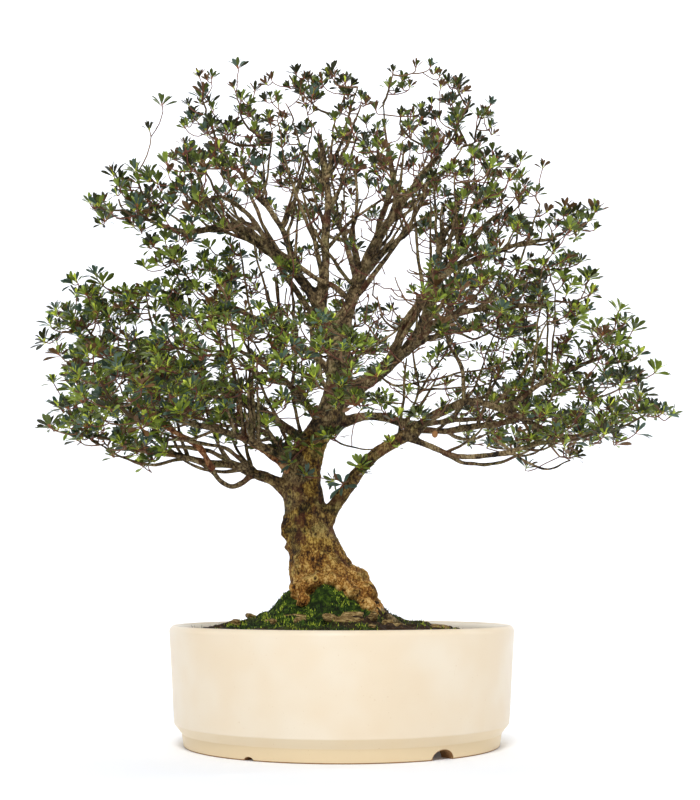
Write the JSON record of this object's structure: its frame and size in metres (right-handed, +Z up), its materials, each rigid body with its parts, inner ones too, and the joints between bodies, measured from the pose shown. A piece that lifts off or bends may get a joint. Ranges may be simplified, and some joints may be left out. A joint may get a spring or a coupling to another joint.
{
  "type": "potted bonsai azalea",
  "caption": "Azalea trained as a bonsai: lumpy trunk, spreading boughs and small evergreen leaves in a wide open dome, in a round cream glazed stoneware pot",
  "frame": {"origin": "on the table, under the middle of the bounding box", "axes": "+Z up along the plant's height, +X to the right across the front of the tree, -Y towards the viewer"},
  "size_m": [0.6696, 0.394, 0.7058],
  "materials": {
    "glaze": "cream stoneware glaze",
    "soil": "dark soil under moss",
    "bark": "golden-brown to olive bark",
    "foliage": "small dark green evergreen leaves on fine twigs"
  },
  "bodies": {
    "root": {"pot": "glaze", "soil": "soil", "trunk": "bark", "bough_low_right": "bark", "bough_low_right_reach": "bark", "bough_low_right_droop": "bark", "bough_arch": "bark", "bough_right_climb": "bark", "bough_right_fan": "bark", "bough_right_outer": "bark", "bough_right_shelf": "bark", "bough_far_right_high": "bark", "bough_leader_right": "bark", "bough_top_right_back": "bark", "bough_leader_left": "bark", "bough_centre_leader": "bark", "bough_upper_left_mid": "bark", "bough_upper_left_front": "bark", "bough_low_left": "bark", "bough_low_left_front": "bark", "bough_low_left_back": "bark", "bough_outer_left": "bark", "bough_mid_left": "bark", "bough_mid_left_front": "bark", "bough_front_centre": "bark", "bough_front_right": "bark", "bough_back_centre": "bark", "bough_back_right": "bark", "bough_back_low_right": "bark", "bough_top_back": "bark", "bough_upper_front": "bark", "foliage_low_right_reach": "foliage", "foliage_low_right_droop": "foliage", "foliage_arch": "foliage", "foliage_right_climb": "foliage", "foliage_right_fan": "foliage", "foliage_right_outer": "foliage", "foliage_right_shelf": "foliage", "foliage_far_right_high": "foliage", "foliage_leader_right": "foliage", "foliage_top_right_back": "foliage", "foliage_leader_left": "foliage", "foliage_centre_leader": "foliage", "foliage_upper_left_mid": "foliage", "foliage_upper_left_front": "foliage", "foliage_low_left": "foliage", "foliage_low_left_front": "foliage", "foliage_low_left_back": "foliage", "foliage_outer_left": "foliage", "foliage_mid_left": "foliage", "foliage_mid_left_front": "foliage", "foliage_front_centre": "foliage", "foliage_front_right": "foliage", "foliage_back_centre": "foliage", "foliage_back_right": "foliage", "foliage_back_low_right": "foliage", "foliage_top_back": "foliage", "foliage_upper_front": "foliage"}
  },
  "joints": []
}
